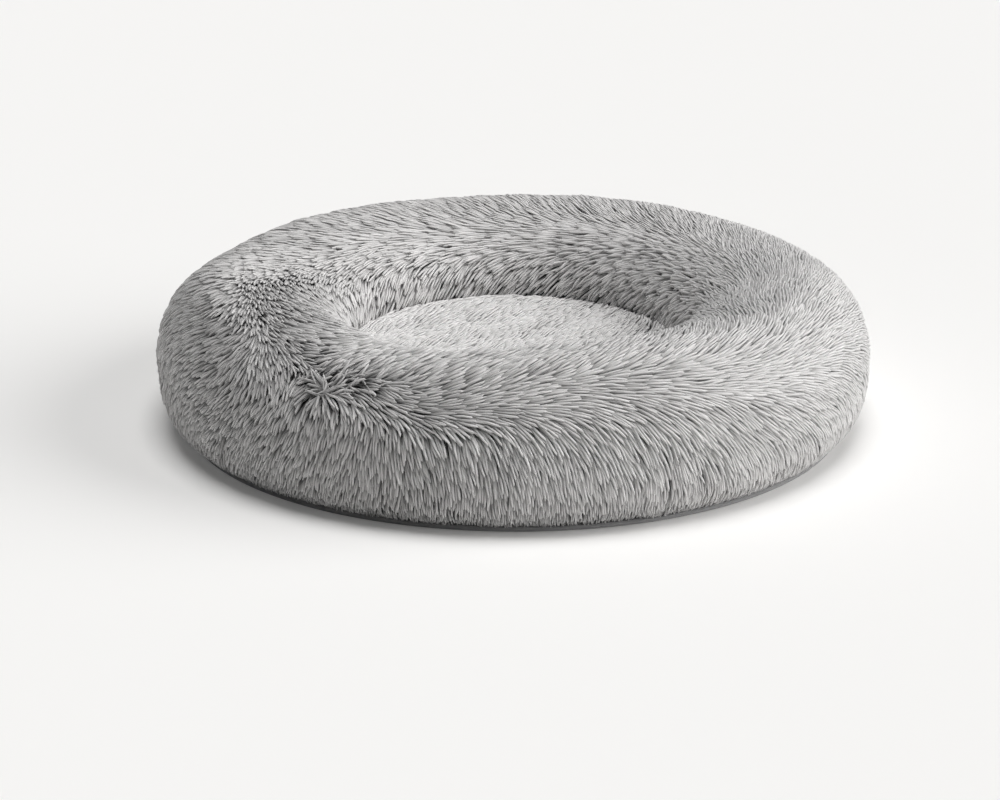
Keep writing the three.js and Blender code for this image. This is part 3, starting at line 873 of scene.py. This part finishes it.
backing_look = cloth_look("plush_backing", backing_color, 900, 0.0003, sheen=0.2)
backing_rows = np.linspace(0, 1, 90)[:, None]
hem_length = length_at_height(hem_line(turn_steps))[None, :]
seam_length = length_at_turn(203)
backing_length = hem_length + (seam_length - hem_length) * backing_rows
place, normal = ring_surface(backing_length, turn_steps[None, :])
near_edge = smooth((backing_length - hem_length) / 0.03)[..., None]
sunk = hem_depth + (pile_depth - hem_depth) * near_edge
outer_face = place - normal * sunk
inner_face = place - normal * (sunk + backing_thickness)
ring_backing = round_sheet("ring_backing", np.concatenate([outer_face, inner_face[::-1]]))
dress(ring_backing, backing_look, "ring_cover")

# Pile of the ring. Long soft fibres that cling together in tapered locks, rooted in the
# backing and lying over one another like thatch. Use has combed it this way and that, and
# a tuft stands on end at the front left.

# The combing plan, in degrees: how far round the section and how far round the bed a place
# lies, and the way its tips point. 0 is down the outside, 90 is round the bed to the right
# as seen from outside it, and 180 is up and over into the hollow.
comb_turns = (-40, 0, 50, 75, 100, 140, 170)
comb_sides = (-165, -145, -132, -118, -100, -70, -40, 0, 45, 90, 150, 180, 195)
comb_ways = np.radians([
    (-15, -30, -45, 10, 75, 115, 150),
    (-30, -50, -40, 60, 80, 130, 155),
    (-25, -35, 50, 75, 120, 150, 160),
    (-15, -15, 40, 150, 165, 165, 165),
    (0, 15, 105, 130, 135, 160, 165),
    (5, 25, 80, 115, 130, 155, 165),
    (15, 55, 95, 110, 130, 145, 160),
    (15, 60, 80, 80, 80, 100, 140),
    (5, 25, 45, 50, 55, 110, 140),
    (0, 10, 25, 30, 35, 95, 140),
    (0, 0, 15, 20, 35, 95, 140),
    (-5, -15, -10, -5, 55, 105, 150),
    (-15, -30, -45, 10, 75, 115, 150),
])
tuft_angle = math.radians(-120)
tuft_turn = 44
tuft_reach = 0.028
bed_mean_radius = 0.40
wave_bend = math.radians(4)
finest = 0.52
slimming = 0.2


def from_place(length, angle, turn_there, angle_there):
    """How far places on the ring lie from one place: along the section, and round it."""
    along = length - length_at_turn(turn_there)
    return along, turn_between(angle, angle_there) * bed_mean_radius


def brushed_way(length, angle):
    """The way that tips point at a place on the ring: a smooth blend of the plan's four
    entries round it, turned away from the tuft's middle by a bell of how near that is,
    and bent a little to and fro by slow waves."""
    row = np.interp(length, length_at_turn(comb_turns), np.arange(len(comb_turns)))
    round_it = (np.degrees(angle) - comb_sides[0]) % 360 + comb_sides[0]
    side = np.interp(round_it, comb_sides, np.arange(len(comb_sides)))
    i = side.astype(int).clip(0, len(comb_sides) - 2)
    j = row.astype(int).clip(0, len(comb_turns) - 2)
    a, b = smooth(side - i), smooth(row - j)
    low = comb_ways[i, j] * (1 - a) + comb_ways[i + 1, j] * a
    high = comb_ways[i, j + 1] * (1 - a) + comb_ways[i + 1, j + 1] * a
    way = low * (1 - b) + high * b
    along, around = from_place(length, angle, tuft_turn, tuft_angle)
    far = np.hypot(along, around) + 1e-9
    bell = np.exp(-(far / tuft_reach) ** 2 / 2)
    down = np.cos(way) * (1 - bell) - bell * along / far
    aside = np.sin(way) * (1 - bell) + bell * around / far
    waves = waviness(13, on_axis(angle, bed_mean_radius, length), 0.05)
    return np.arctan2(aside, down) + wave_bend * waves


def above_hem(length, angle):
    """Length along the section from the hem up to a place."""
    return length - length_at_height(hem_line(angle))


def in_hollow(length, angle):
    """0 on the outside and the crest, and 1 down the side that faces the hollow. The
    change comes sooner at the back right, where that side is rumpled."""
    turn = np.degrees(np.interp(length, profile_length, profile_turn))
    return smooth((turn - 122 + 22 * hump(angle, 30, 35)) / 40)


def lock_fineness(length, angle):
    """Size of the locks as a share of the full size: least at the hem, whole from 75 mm
    above it, and a little less on the crest at the bed's right and back."""
    size = finest + (1 - finest) * smooth(above_hem(length, angle) / 0.075)
    return size * (1 - slimming * hump(angle, 35, 75) * (1 - in_hollow(length, angle)))


def shagginess(length, angle):
    """How far the locks stand apart and lift their tips, from 0 to 1: most at the front
    left and down in the hollow, and least on the right of the crest."""
    outer = 0.1 + 0.9 * hump(angle, -140, 80)
    return outer + (0.9 - outer).clip(0, 1) * in_hollow(length, angle)


def lock_stretch(length, angle):
    """How much longer the locks are than their fineness says: more where they lie sleek."""
    return 1.6 - 0.6 * shagginess(length, angle)


def scattered_roots(spacing, low, high, seed):
    """Roots on the ring in staggered, jittered rows, thinned out where the locks are
    larger: lengths along the section and angles round the bed."""
    draw = np.random.default_rng(seed)
    lengths, angles = [], []
    for number, level in enumerate(np.arange(low, high, spacing)):
        radius = np.interp(level, profile_length, profile_radius)
        count = int(full_turn * radius / spacing)
        shift = 0.5 * (number % 2) + draw.uniform(-0.42, 0.42, count)
        angles.append((np.arange(count) + shift) * full_turn / count - math.pi)
        lengths.append(level + draw.uniform(-0.5, 0.5, count) * spacing)
    lengths, angles = np.concatenate(lengths), np.concatenate(angles)
    room = lock_fineness(lengths, angles) ** 2 * lock_stretch(lengths, angles)
    kept = draw.uniform(0, 1, len(lengths)) < (finest * (1 - slimming)) ** 2 / room
    return lengths[kept], angles[kept]


def locks(name, spine, normal, width, relief, shade, start):
    """Closed tapered locks. spine holds a row of points for each lock, from root to tip, and normal
    the surface's normal there. Every point but the last carries four corners, two low ones across
    the lock and two on top, closer together and as high as the relief says. The UV map runs over
    the lock's tone, which holds painted light and shade as well as its own, and from start at its
    root to 1 at its tip."""
    count, points = spine.shape[:2]
    rings = points - 1
    ahead = np.gradient(spine, axis=1)
    across = np.cross(ahead, normal)
    across /= np.linalg.norm(across, axis=-1, keepdims=True) + 1e-12
    ridge = np.cross(across, ahead)
    ridge /= np.linalg.norm(ridge, axis=-1, keepdims=True) + 1e-12
    taper = lock_taper[None, :, None] * width[:, None, None] / 2
    body, across, ridge = spine[:, :rings], across[:, :rings] * taper, ridge[:, :rings] * taper
    top = relief[:, None, None] * ridge
    corners = np.stack([
        body - across - 0.3 * ridge, body + across - 0.3 * ridge,
        body + 0.45 * across + top, body - 0.45 * across + top], 2)
    vertices = np.concatenate([corners.reshape(count, -1, 3), spine[:, -1:]], 1)
    each = 4 * rings + 1
    side = np.arange(4)
    beside = (side + 1) % 4
    level = 4 * np.arange(rings - 1)[:, None]
    root = np.array([[3, 2, 1, 0]])
    quads = np.stack(np.broadcast_arrays(
        level + side, level + beside, level + 4 + beside, level + 4 + side), -1).reshape(-1, 4)
    last = 4 * (rings - 1)
    tips = np.stack([last + side, last + beside, np.full(4, each - 1)], -1)
    first = (np.arange(count) * each)[:, None, None]
    faces = [(np.concatenate([quads, root]) + first).reshape(-1, 4), (tips + first).reshape(-1, 3)]
    made = mesh_of(name, vertices.reshape(-1, 3), faces)
    along = np.concatenate([np.repeat(lock_stations[:rings], 4), [1.0]])
    aside = np.concatenate([np.tile([-0.002, 0.002, 0.001, -0.001], rings), [0.0]])
    u = np.clip(shade[:, None] * 0.98 + 0.01 + aside, 0, 1)
    v = (start[:, None] + (1 - start[:, None]) * along) * 0.98 + 0.01
    corner = np.zeros(len(made.data.loops), np.int32)
    made.data.loops.foreach_get("vertex_index", corner)
    chart = made.data.uv_layers.new(name="OFBake")
    chart.data.foreach_set("uv", np.stack([u.ravel()[corner], v.ravel()[corner]], -1).ravel())
    return made


def combed(u, v, place, step, along, across, rounds=9):
    """Spreads locks evenly, as a comb does. u and v are places on the surface, place gives
    their points, and step moves them so far down the brushed way and so far across it. In
    each round a lock is pushed off every neighbour inside an oval, long down the way and
    narrow across it, in proportion to how deep it stands inside. along and across hold
    the oval's size for each lock."""
    for number in range(rounds):
        here = place(u, v)
        if number % 3 == 0:
            tree = kdtree.KDTree(len(here))
            for index, point in enumerate(here):
                tree.insert(point, index)
            tree.balance()
            near = np.array([[found[1] for found in tree.find_n(point, 34)] for point in here])
        ahead = (place(*step(u, v, 0.001, 0)) - here) / 0.001
        aside = (place(*step(u, v, 0, 0.001)) - here) / 0.001
        offset = here[near] - here[:, None]
        down = (offset * ahead[:, None]).sum(-1) / along[:, None]
        over = (offset * aside[:, None]).sum(-1) / across[:, None]
        far = np.hypot(down, over) + 1e-9
        push = 0.35 * np.clip(1 - far, 0, None) / far
        back = np.clip((push * down).sum(1), -0.4, 0.4) * along
        away = np.clip((push * over).sum(1), -0.4, 0.4) * across
        u, v = step(u, v, -back, -away)
    return u, v


def lock_lines(u, v, surface, step, back, on, turned, depth):
    """Spines of locks through the given places, which lie at lock_middle of their length.
    Each is followed back to its root and on to its tip along the brushed way, turned at
    each point by the angle given. depth holds how far a point stands over the surface."""
    lines = [None] * len(lock_stations)
    rootward = range(lock_middle, -1, -1)
    tipward = range(lock_middle, len(lock_stations))
    for order, reach in ((rootward, back), (tipward, on)):
        at_u, at_v = u, v
        before = lock_stations[lock_middle]
        for number in order:
            moved = (lock_stations[number] - before) * reach
            bent = turned[:, number]
            at_u, at_v = step(at_u, at_v, moved * np.cos(bent), moved * np.sin(bent))
            before = lock_stations[number]
            place, normal = surface(at_u, at_v)
            lines[number] = (place + normal * depth[:, number, None], normal)
    return np.stack([line[0] for line in lines], 1), np.stack([line[1] for line in lines], 1)


def plush_look(name, root_color, tip_color):
    """Pile whose look depends only on its UV map: darker at the root, partly the fibres' own color
    and partly painted shade of the deep pile, each lock lighter or darker than the next by a tone
    that holds chance and painted light and shade, and fine fibres that run along it as streaks."""
    material, tree, shader = named_material(name, tip_color, 0.85, sheen=0.8, specular=0.12)
    nodes, links = tree.nodes, tree.links
    chart = nodes.new("ShaderNodeUVMap")
    chart.uv_map = "OFBake"
    parts = nodes.new("ShaderNodeSeparateXYZ")
    links.new(chart.outputs["UV"], parts.inputs[0])
    # The dark root color is partly the fibres' own and partly painted shade of the deep pile.
    depth = nodes.new("ShaderNodeValToRGB")
    depth.color_ramp.interpolation = "EASE"
    depth.color_ramp.elements[0].position = 0.27
    depth.color_ramp.elements[0].color = root_color
    depth.color_ramp.elements[1].position = 0.92
    depth.color_ramp.elements[1].color = tip_color
    links.new(parts.outputs["Y"], depth.inputs["Fac"])
    tone = nodes.new("ShaderNodeMapRange")
    tone.inputs["To Min"].default_value = 0.70
    tone.inputs["To Max"].default_value = 1.30
    links.new(parts.outputs["X"], tone.inputs["Value"])
    drawn_out = nodes.new("ShaderNodeVectorMath")
    drawn_out.operation = "MULTIPLY"
    drawn_out.inputs[1].default_value = (1300, 7, 0)
    links.new(chart.outputs["UV"], drawn_out.inputs[0])
    fibres = nodes.new("ShaderNodeTexNoise")
    fibres.inputs["Scale"].default_value = 1
    fibres.inputs["Detail"].default_value = 2
    links.new(drawn_out.outputs[0], fibres.inputs["Vector"])
    streak = maths(tree, "MULTIPLY_ADD", fibres.outputs["Fac"], 0.4, 0.8)
    mixed = nodes.new("ShaderNodeVectorMath")
    mixed.operation = "SCALE"
    links.new(depth.outputs["Color"], mixed.inputs[0])
    links.new(maths(tree, "MULTIPLY", tone.outputs["Result"], streak), mixed.inputs["Scale"])
    links.new(mixed.outputs["Vector"], shader.inputs["Base Color"])
    bump = nodes.new("ShaderNodeBump")
    bump.inputs["Distance"].default_value = 0.0004
    links.new(fibres.outputs["Fac"], bump.inputs["Height"])
    links.new(bump.outputs["Normal"], shader.inputs["Normal"])
    return material


lock_stations = np.array([0.0, 0.26, 0.50, 0.74, 0.93, 1.0])
lock_taper = np.array([0.8, 1.0, 1.0, 0.95, 0.70])
lock_middle = 3
lock_length = 0.046
lock_width = 0.0035
lock_apart = 0.0037
lock_follow = 0.028
lock_crimp = math.radians(4)
lock_packing = 0.85
pile_layers = ((0.0, 1.0), (0.0024, 0.8), (0.0048, 0.5))
ruffle_length = 0.020
ruffle_width = 0.055
whorl_reach = 0.022
crest_reach = 0.022
hem_fringe = 0.0020
tuft_lift = 0.009
sleek_lift = 0.0003
shaggy_lift = 0.0030
rumpled_lift = 0.0035
upright_lift = 0.0060
# Painted light and shade in the pile's tone: how much lighter the back, the hollow and its rumpled
# back right are made, and how much darker the front left and the right of the crest.
painted_front_left_shade = 0.37
painted_right_shade = 0.12
painted_back_light = 0.15
painted_hollow_light = 0.15
painted_rumpled_light = 0.2
gores = 10
plush_material = plush_look("plush_pile", (0.06, 0.06, 0.06, 1), (0.65, 0.641, 0.637, 1))
pile_start = length_at_height(hem_height)
pile_end = length_at_turn(184)


def ring_step(length, angle, ahead, aside):
    """Moves places on the ring down the brushed way and across it, in metres."""
    way = brushed_way(length, angle)
    radius = np.interp(length, profile_length, profile_radius)
    moved = length - np.cos(way) * ahead + np.sin(way) * aside
    turned = angle + (np.sin(way) * ahead + np.cos(way) * aside) / radius
    lowest = length_at_height(hem_line(turned)) - 0.002
    return np.clip(moved, lowest, pile_end + 0.03), turned


def ring_place(length, angle):
    """Points of the ring's outer form."""
    return ring_surface(length, angle)[0]


ring_rows = []
for layer, (drop, share) in enumerate(pile_layers):
    spacing = finest * (1 - slimming) * math.sqrt(lock_apart * lock_follow * lock_packing / share)
    length, angle = scattered_roots(spacing, pile_start, pile_end, 11 + layer)
    length = np.maximum(length, length_at_height(hem_line(angle)) + 0.002)
    fine = lock_fineness(length, angle)
    follow = lock_follow * fine * lock_stretch(length, angle) / share
    length, angle = combed(length, angle, ring_place, ring_step, follow, lock_apart * fine)
    ring_rows.append(np.stack([length, angle, np.full(len(length), drop)]))
mid_length, mid_angle, drop = np.concatenate(ring_rows, 1)
mid_place = ring_place(mid_length, mid_angle)
draw = np.random.default_rng(14)
count = len(mid_length)
fine = lock_fineness(mid_length, mid_angle)
shaggy = shagginess(mid_length, mid_angle)
# How far each lock belongs to the tuft, to the whorl at its foot, to the hollow, to its
# rumpled back right, or to the tips that stand up just inside the front crest.
along, around = from_place(mid_length, mid_angle, tuft_turn + 15, tuft_angle + 0.05)
ruffled = np.exp(-(along / ruffle_length) ** 2 - (around / ruffle_width) ** 2)
from_whorl = np.hypot(*from_place(mid_length, mid_angle, tuft_turn, tuft_angle))
whorl = np.exp(-(from_whorl / whorl_reach) ** 2)
inside = in_hollow(mid_length, mid_angle)
rumpled = inside * hump(mid_angle, 25, 40)
from_crest = mid_length - length_at_turn(108)
upright = hump(mid_angle, -95, 35) * np.exp(-(from_crest / crest_reach) ** 2)
# How far it strays from the brushed way, in degrees, and how it lies over the backing.
stray = 1.5 + 3 * shaggy + 24 * ruffled + 22 * whorl + 6 * rumpled + 6 * upright
stray = np.radians(stray) * draw.normal(size=count)
phase = 4 * waviness(17, mid_place, 0.05) + 0.3 * draw.normal(size=count)
crimp = lock_crimp * (0.3 + 0.7 * shaggy)
stray = stray[:, None] + crimp[:, None] * np.sin(phase[:, None] + full_turn * 1.3 * lock_stations)
rise = 0.0003 * draw.normal(size=count).clip(-2, 2) + 0.0006 * waviness(15, mid_place, 0.05) - drop
above = above_hem(mid_length, mid_angle)
lift = ((sleek_lift + shaggy_lift * shaggy + rumpled_lift * rumpled + upright_lift * upright)
        * smooth(above / 0.06) * draw.uniform(0, 1, count)
        + hem_fringe * (1 - smooth(above / 0.020)) * draw.uniform(0.2, 1, count)
        + tuft_lift * ruffled * draw.uniform(0.1, 1, count))
way = brushed_way(mid_length, mid_angle)
room = above - draw.uniform(-0.002, 0.004, count)
room = np.where(np.cos(way) > 0.05, room / np.cos(way).clip(0.05, 1), 1).clip(0.001, 1)
whole = lock_length * draw.uniform(0.8, 1.2, count) * fine * (1 - 0.35 * ruffled)
whole = whole * lock_stretch(mid_length, mid_angle)
on = np.minimum(whole, room / (1 - lock_stations[lock_middle]))
sunk = (1 - lock_stations) ** (3.2 - 1.1 * shaggy[:, None])
depth = rise[:, None] * lock_stations + lift[:, None] * lock_stations ** 2 - pile_depth * sunk
spine, spine_normal = lock_lines(
    mid_length, mid_angle, ring_surface, ring_step, whole, on, stray, depth)
# Its width, how round it is, how much of the painted root shade it shows, and its tone: a little of
# its own by chance, with painted light on the back, in the hollow and on its rumpled back right,
# and painted shade at the front left and on the right of the crest.
width = (lock_width * draw.uniform(0.85, 1.15, count) * fine
         * (1.14 - 0.22 * shaggy - 0.2 * ruffled + 0.3 * rumpled))
relief = 0.35 + 0.85 * shaggy + 0.5 * rumpled
start = 0.6 * (1 - shaggy) + 0.3 * inside * (1 - rumpled)
tone_and_painted_shading = (0.23 - painted_front_left_shade * hump(mid_angle, -140, 80) + painted_back_light * hump(mid_angle, 90, 60)
       + painted_hollow_light * inside - painted_right_shade * hump(mid_angle, 0, 45) * (1 - inside)
       + painted_rumpled_light * rumpled + 0.05 * waviness(16, mid_place, 0.06))
shade = (0.5 + tone_and_painted_shading + (0.06 + 0.10 * shaggy) * draw.normal(size=count)).clip(0, 1)
gore = ((mid_angle + math.pi) / full_turn * gores).astype(int) % gores
for number in range(gores):
    own = gore == number
    pile = locks(f"ring_pile_{number + 1}", spine[own], spine_normal[own], width[own], relief[own],
                 shade[own], start[own])
    dress(pile, plush_material, "ring_cover")

# Plush backing of the pad. The same knitted cloth, crowned over the pad's filling and sewn
# to the ring's backing at the seam, deep in the groove between them.
pad_edge = pad_side(pad_height - pad_crown - shoulder, gap)
face_inset = 0.0010
back_inset = face_inset + backing_thickness
backing_foot = seam_height + 0.0005
face_r, face_z = pad_section(
    face_inset, pile_depth, pad_side(seam_height, face_inset), backing_foot)
back_r, back_z = pad_section(
    back_inset, pile_depth + backing_thickness, pad_side(seam_height, back_inset), backing_foot)
pad_backing = pad_sheet("pad_backing", np.concatenate([face_r[7:], back_r[7:][::-1]]),
                        np.concatenate([face_z[7:], back_z[7:][::-1]]))
dress(pad_backing, backing_look, "pad_cover")

# Pile of the pad. The same locks, brushed towards the back right, and round the edge to
# follow the groove.
pad_way = math.radians(56)
pad_fine = 0.88
# The pad's pile is made lighter in tone than the ring's, as painted light on the pad that lies in
# the ring's shade, and its locks show less of the painted root shade.
pad_tone_and_painted_light = 0.80
pad_relief = 0.9
pad_root = 0.42


def pad_surface(across, back):
    """Point and normal of the pad's outer form over a point of the floor plan."""
    def place(x, y):
        angle, radius = np.arctan2(y, x), np.hypot(x, y)
        return on_axis(angle, *settle(angle, radius, pad_top(np.minimum(radius, pad_edge))))

    nudge = 0.001
    normal = np.cross(place(across + nudge, back) - place(across - nudge, back),
                      place(across, back + nudge) - place(across, back - nudge))
    return place(across, back), normal / np.linalg.norm(normal, axis=-1, keepdims=True)


def pad_brushed(across, back):
    """The way that tips point on the pad: all one way in the middle, and turning to run
    along the edge within the last 40 mm, except where that way meets the edge squarely."""
    angle = np.arctan2(back, across)
    slant = np.sin(pad_way - angle)
    tangent = angle + np.where(slant > 0, 1, -1) * math.pi / 2
    share = smooth((np.hypot(across, back) - pad_edge + 0.045) / 0.04) * 0.8
    return pad_way + turn_between(tangent, pad_way) * share * smooth(np.abs(slant) / 0.8)


def pad_step(across, back, ahead, aside):
    """Moves places on the pad down the brushed way and across it, and keeps them on it."""
    way = pad_brushed(across, back)
    x = across + np.cos(way) * ahead - np.sin(way) * aside
    y = back + np.sin(way) * ahead + np.cos(way) * aside
    too_far = np.maximum(np.hypot(x, y) / pad_edge, 1)
    return x / too_far, y / too_far


def pad_place(across, back):
    """Points of the pad's outer form."""
    return pad_surface(across, back)[0]


draw = np.random.default_rng(21)
pad_rows = []
lock_room = pad_fine ** 2 * lock_apart * lock_follow * lock_packing
for drop, share in pile_layers:
    count = int(math.pi * pad_edge ** 2 / lock_room * share)
    radius = pad_edge * np.sqrt(draw.uniform(0, 1, count))
    angle = draw.uniform(0, full_turn, count)
    x, y = combed(
        radius * np.cos(angle), radius * np.sin(angle), pad_place, pad_step,
        np.full(count, lock_follow * pad_fine / share), np.full(count, lock_apart * pad_fine))
    pad_rows.append(np.stack([x, y, np.full(count, drop)]))
mid_x, mid_y, drop = np.concatenate(pad_rows, 1)
mid_place = pad_place(mid_x, mid_y)
count = len(mid_x)
stray = np.radians(1.5) * draw.normal(size=count) + np.radians(6) * waviness(22, mid_place, 0.06)
phase = 4 * waviness(25, mid_place, 0.05) + 0.3 * draw.normal(size=count)
stray = stray[:, None] + lock_crimp * np.sin(phase[:, None] + full_turn * 1.3 * lock_stations)
rise = 0.0003 * draw.normal(size=count).clip(-2, 2) + 0.0008 * waviness(23, mid_place, 0.05) - drop
whole = pad_fine * lock_length * draw.uniform(0.85, 1.15, count)
lift = 0.0012 * draw.uniform(0, 1, count)
depth = (rise[:, None] * lock_stations + lift[:, None] * lock_stations ** 2
         - pile_depth * (1 - lock_stations) ** 2.8)
spine, spine_normal = lock_lines(mid_x, mid_y, pad_surface, pad_step, whole, whole, stray, depth)
width = lock_width * pad_fine * draw.uniform(0.85, 1.15, count)
shade = pad_tone_and_painted_light + 0.08 * draw.normal(size=count) + 0.05 * waviness(24, mid_place, 0.06)
pad_pile = locks("pad_pile", spine, spine_normal, width, np.full(count, pad_relief),
                 shade.clip(0, 1), np.full(count, pad_root))
dress(pad_pile, plush_material, "pad_cover")
